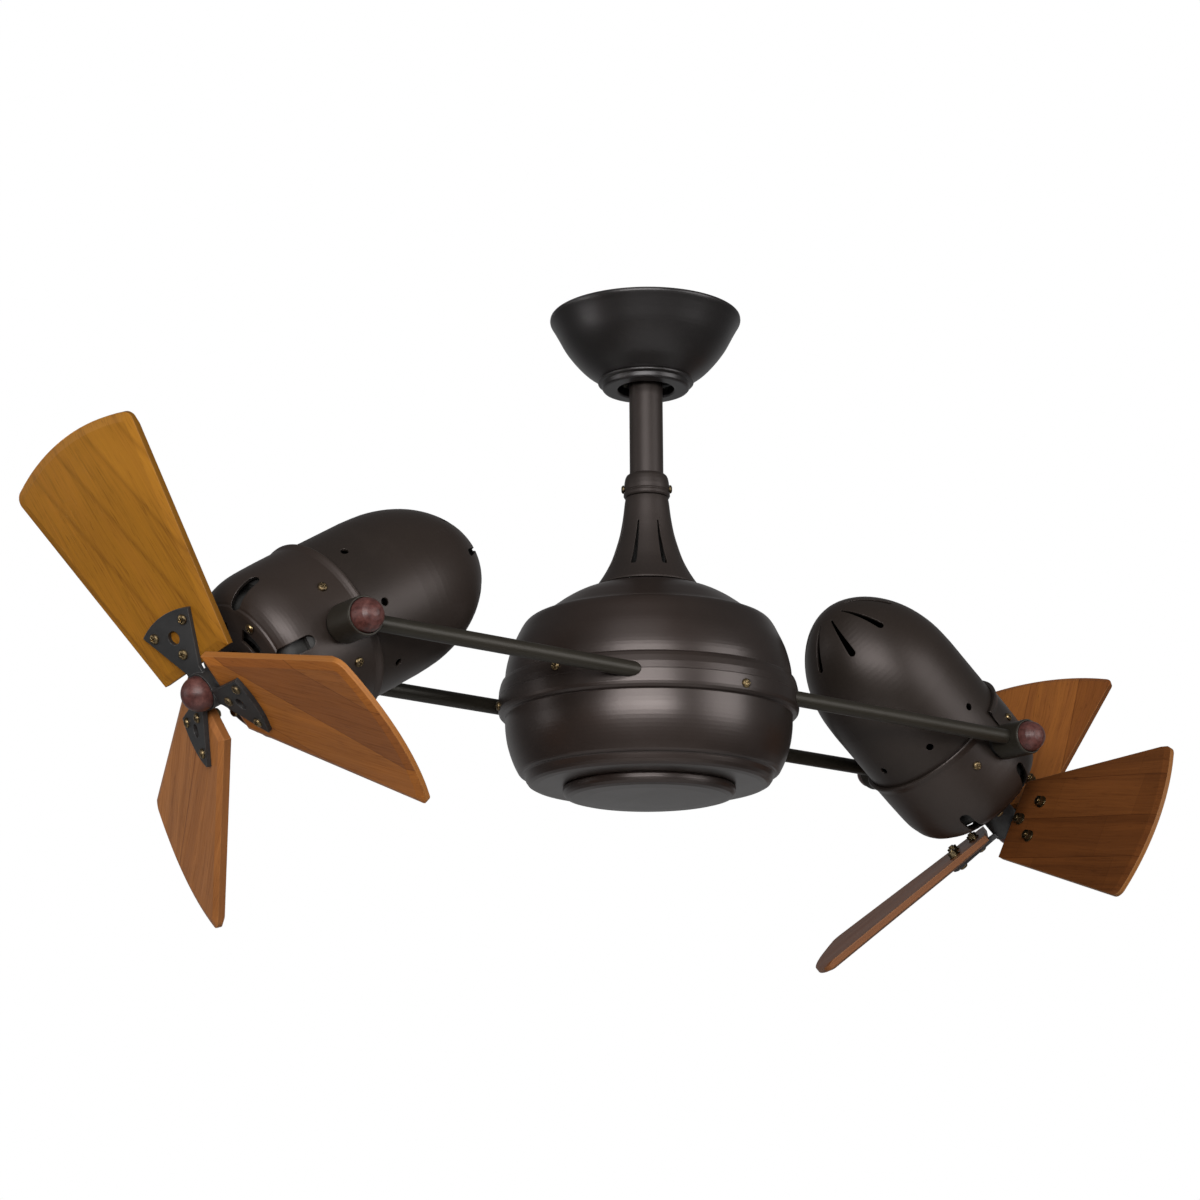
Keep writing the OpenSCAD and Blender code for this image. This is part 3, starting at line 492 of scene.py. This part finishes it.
def mahogany(name, axis_node, seed):
    """Dark stained turned wood, semi-gloss, with short curved grain."""
    g = G(name)
    p = shift(g, g.obj(), seed, seed * 0.3, seed * 0.7)
    warp = g.noise(p, 60.0, 2.0, 0.5, out="Color")
    q = g.v("ADD", g.mapping(p, scale=(260.0, 60.0, 260.0)), g.v("MULTIPLY", warp, (2.2, 2.2, 2.2)))
    grain = g.noise(q, 1.0, 4.0, 0.62)
    pore = g.noise(g.mapping(p, scale=(1500.0, 300.0, 1500.0)), 1.0, 1.0, 0.5)
    c = g.ramp(grain, [(0.30, (0.0400, 0.0130, 0.0110)), (0.52, (0.0780, 0.0270, 0.0230)), (0.72, (0.1200, 0.0450, 0.0370))])
    c = g.mix(g.span(pore, 0.62, 0.72, 0.0, 0.6), c, (0.016, 0.006, 0.005))
    bev = g.bevel(0.0006, 4)
    e = g.edge(bev, 0.02, 0.2)
    # lighter edges: partly rubbed, partly a painted highlight along every edge
    c = g.mix(g.m("MULTIPLY", e, 0.35), c, (0.14, 0.05, 0.035))
    r = g.span(grain, 0.3, 0.7, 0.36, 0.46)
    n = g.bump(g.m("ADD", grain, g.m("MULTIPLY", pore, 0.6)), 0.00008, 0.4, bev)
    return g.set(color=c, rough=r, ior=1.5, normal=n, spec=0.32, coat=0.08, coat_rough=0.26)


# ------------------------------------------------------------------ which node wears what
def wear(node, mat):
    o = NODES[node]
    if not o.material_slots:
        o.data.materials.append(mat)
    for s in o.material_slots:
        s.material = mat


for n in ("canopy", "canopy_ring"):
    wear(n, M_CANOPY)
for n in ("downrod", "coupling_collar", "neck_cover"):
    wear(n, M_STEM)
for n in ("upper_housing", "lower_housing", "bottom_cover"):
    wear(n, M_HOUSING)
for n in ("near_rod", "far_rod", "near_left_rod_eye", "far_left_rod_eye", "near_right_rod_eye", "far_right_rod_eye"):
    wear(n, M_ROD)
for n in ("hanger_bracket", "ball_pin", "spindle_nut"):
    wear(n, M_ZINC)
wear("spindle", M_CAST)
for n in ("canopy_screws", "collar_screws", "housing_screws"):
    wear(n, M_BRASS)
wear("collar_screws", M_NUTS)
wear("hanger_ball", M_BALL)
wear("slip_rings", M_RINGS)
wear("rod_carrier", M_CAST)
wear("bearing_bushings", M_BUSH)
wear("brush_block", M_BRUSH)
for side in ("left", "right"):
    axis = Vector(JOINT[side + "_rotor_spin"]["axis"]).normalized()
    pivot = Vector(JOINT[side + "_rotor_spin"].get("pos_m") or JOINT[side + "_rotor_spin"].get("anchor_m"))
    tones = ((0.0140, 0.0106, 0.0084), (0.0205, 0.0140, 0.0110), (0.0255, 0.0190, 0.0158))
    wear(side + "_rear_shell", bronze("bronze_" + side + "_rear", *tones, rough=0.42, seed=7.7, centre=pivot - axis * 0.07, rub_highlight_amt=0.5, spec=0.36))
    wear(side + "_front_shell", bronze("bronze_" + side + "_front", *tones, rough=0.40, seed=9.1, centre=pivot, rub_highlight_amt=0.5, spec=0.45))
    wear(side + "_motor_frame", M_CAST)
    wear(side + "_end_plates", M_CAST)
    wear(side + "_stator_core", M_LAM)
    wear(side + "_stator_windings", M_WIRE)
    wear(side + "_shell_screws", M_BRASS)
    wear(side + "_motor_rotor", M_SHAFT)
    wear(side + "_blade_carrier", M_IRON)
    wear(side + "_blade_screws", M_BRASS)
    wear(side + "_blade_nuts", M_NUTS)
    wear(side + "_spinner", mahogany("mahogany_" + side + "_spinner", None, 3.0 if side == "left" else 8.0))
    for k in ("near", "far"):
        wear("%s_%s_knob" % (side, k), mahogany("mahogany_%s_%s" % (side, k), None, (1.0 if side == "left" else 5.0) + (0.5 if k == "near" else 2.0)))
for n, ((side, k), kw) in BLADES.items():
    wear(n, wood("wood_" + n, blade_matrix(side, k).inverted(), **kw))

# ------------------------------------------------------------------ turned pieces seen only through slots
def turned(name, prof, matrix, body, mat, seg=72):
    """A closed turned piece: prof is its section as (radius, height) in mm, in the frame given by matrix."""
    bm = bmesh.new()
    rings = [[bm.verts.new(matrix @ Vector((r * 0.001 * math.cos(2 * math.pi * i / seg), r * 0.001 * math.sin(2 * math.pi * i / seg), z * 0.001)))
              for i in range(seg)] for r, z in prof]
    for a, b in zip(rings, rings[1:] + rings[:1]):
        for i in range(seg):
            j = (i + 1) % seg
            bm.faces.new((a[i], a[j], b[j], b[i]))
    bmesh.ops.recalc_face_normals(bm, faces=bm.faces)
    me = bpy.data.meshes.new(name)
    bm.to_mesh(me)
    bm.free()
    me.shade_smooth()
    me.set_sharp_from_angle(angle=math.radians(50.0))
    me.materials.append(mat)
    o = bpy.data.objects.new(name, me)
    scene.collection.objects.link(o)
    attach(o, body)


# spacer tube round the spindle inside the neck cover, with a bead at each end
turned("spindle_spacer", [(8.15, -133.4), (11.6, -133.4), (12.2, -133.7), (12.5, -134.4), (12.5, -136.6), (12.2, -137.3), (11.7, -137.8), (11.7, -160.0),
                          (11.7, -182.6), (12.2, -183.1), (12.5, -183.8), (12.5, -186.6), (12.2, -187.3), (11.6, -187.6), (8.15, -187.6)],
       Matrix.Identity(4), "hanger", M_CAST)
# pressed can round the front of each motor
for side in ("left", "right"):
    turned(side + "_motor_can", [(41.8, 21.0), (43.0, 21.0), (43.0, 28.5), (42.7, 30.4), (41.8, 32.4), (40.4, 34.2), (38.4, 35.6), (36.0, 36.2), (20.0, 36.4),
                                 (20.0, 35.2), (35.6, 35.0), (37.8, 34.4), (39.4, 33.2), (40.6, 31.8), (41.5, 30.0), (41.8, 28.2)],
           rotor_matrix(side), side + "_head", M_CAST)

# ------------------------------------------------------------------ floor, light, world
CENTRE = Vector((0.0, 0.0, -0.27))
TO_CAM = Vector((-0.593, -0.805, 0.0))
TO_LEFT = Vector((-0.805, 0.593, 0.0))
UP = Vector((0, 0, 1))


def make_floor():
    bm = bmesh.new()
    bmesh.ops.create_circle(bm, cap_ends=True, segments=128, radius=2.2)
    me = bpy.data.meshes.new("floor")
    bm.to_mesh(me)
    bm.free()
    o = bpy.data.objects.new("floor", me)
    o.location = (0, 0, -2.6)
    scene.collection.objects.link(o)
    g = G("floor_pale")
    p = g.obj()
    a = g.noise(p, 0.9, 3.0, 0.5)
    c = g.mix(g.span(a, 0.3, 0.7), (0.80, 0.80, 0.79), (0.84, 0.84, 0.83))
    g.set(color=c, rough=0.75, normal=g.bump(g.noise(p, 60.0, 3.0, 0.5), 0.0004, 0.2))
    me.materials.append(g.mat)


make_floor()


def area(name, direction, dist, size, power, target=CENTRE, size_y=None, color=(1, 1, 1), spread=180.0):
    d = direction.normalized()
    data = bpy.data.lights.new(name, "AREA")
    data.shape = "RECTANGLE"
    data.size = size
    data.size_y = size_y or size
    data.energy = power
    data.color = color
    data.spread = math.radians(spread)
    o = bpy.data.objects.new(name, data)
    scene.collection.objects.link(o)
    pos = target + d * dist
    o.matrix_world = Matrix.Translation(pos) @ d.to_track_quat("Z", "Y").to_matrix().to_4x4()
    return o


# wide low key beside the camera, a little to its left
area("key", TO_CAM * 0.98 + TO_LEFT * 0.08 + UP * -0.010, 3.2, 2.9, 78.0, size_y=0.5)
# soft band above the key
area("band", TO_CAM * 0.94 + TO_LEFT * 0.08 + UP * 0.28, 3.2, 2.6, 40.0, size_y=0.7)
# gridded spot from the left and below, on the canopy alone
area("canopy_grid", TO_CAM * 0.25 + TO_LEFT * 0.88 + UP * -0.25, 1.6, 0.16, 0.0110, target=Vector((-0.057, -0.018, -0.004)), spread=5.0)
# high soft light over the camera
area("high", TO_LEFT * 0.15 + TO_CAM * 0.80 + UP * 0.72, 3.2, 2.2, 9.0)
# weaker fill from both sides
area("right", TO_LEFT * -0.90 + TO_CAM * 0.50 + UP * 0.10, 3.0, 1.8, 43.0)
area("left", TO_LEFT * 0.97 + TO_CAM * 0.22 + UP * 0.06, 3.0, 1.6, 13.0)


def make_world():
    w = bpy.data.worlds.new("studio")
    scene.world = w
    w.use_nodes = True
    t = w.node_tree
    t.nodes.clear()
    out = t.nodes.new("ShaderNodeOutputWorld")
    mix = t.nodes.new("ShaderNodeMixShader")
    lp = t.nodes.new("ShaderNodeLightPath")
    seen = t.nodes.new("ShaderNodeBackground")
    seen.inputs["Color"].default_value = (1, 1, 1, 1)
    seen.inputs["Strength"].default_value = 1.0
    amb = t.nodes.new("ShaderNodeBackground")
    tc = t.nodes.new("ShaderNodeTexCoord")
    sep = t.nodes.new("ShaderNodeSeparateXYZ")
    ramp = t.nodes.new("ShaderNodeValToRGB")
    mr = t.nodes.new("ShaderNodeMapRange")
    mr.inputs["From Min"].default_value = -1.0
    mr.inputs["From Max"].default_value = 1.0
    t.links.new(tc.outputs["Generated"], sep.inputs[0])
    t.links.new(sep.outputs[2], mr.inputs["Value"])
    t.links.new(mr.outputs[0], ramp.inputs[0])
    cr = ramp.color_ramp
    cr.elements.new(0.5)
    for e, (pos, c) in zip(cr.elements, ((0.0, 0.035), (0.5, 0.098), (1.0, 0.11))):
        e.position = pos
        e.color = (c, c, c * 1.02, 1.0)
    # brighter wall behind the fan
    dot = t.nodes.new("ShaderNodeVectorMath")
    dot.operation = "DOT_PRODUCT"
    dot.inputs[1].default_value = Vector((-TO_CAM.x, -TO_CAM.y, -0.12)).normalized()
    t.links.new(tc.outputs["Generated"], dot.inputs[0])
    wall = t.nodes.new("ShaderNodeMapRange")
    wall.interpolation_type = "SMOOTHSTEP"
    wall.inputs["From Min"].default_value = 0.55
    wall.inputs["From Max"].default_value = 0.90
    wall.inputs["To Max"].default_value = 0.25
    t.links.new(dot.outputs["Value"], wall.inputs["Value"])
    add = t.nodes.new("ShaderNodeMix")
    add.data_type = "RGBA"
    add.blend_type = "ADD"
    add.inputs[0].default_value = 1.0
    t.links.new(ramp.outputs[0], add.inputs[6])
    t.links.new(wall.outputs[0], add.inputs[7])
    t.links.new(add.outputs[2], amb.inputs["Color"])
    amb.inputs["Strength"].default_value = 1.0
    t.links.new(lp.outputs["Is Camera Ray"], mix.inputs[0])
    t.links.new(amb.outputs[0], mix.inputs[1])
    t.links.new(seen.outputs[0], mix.inputs[2])
    t.links.new(mix.outputs[0], out.inputs["Surface"])


make_world()
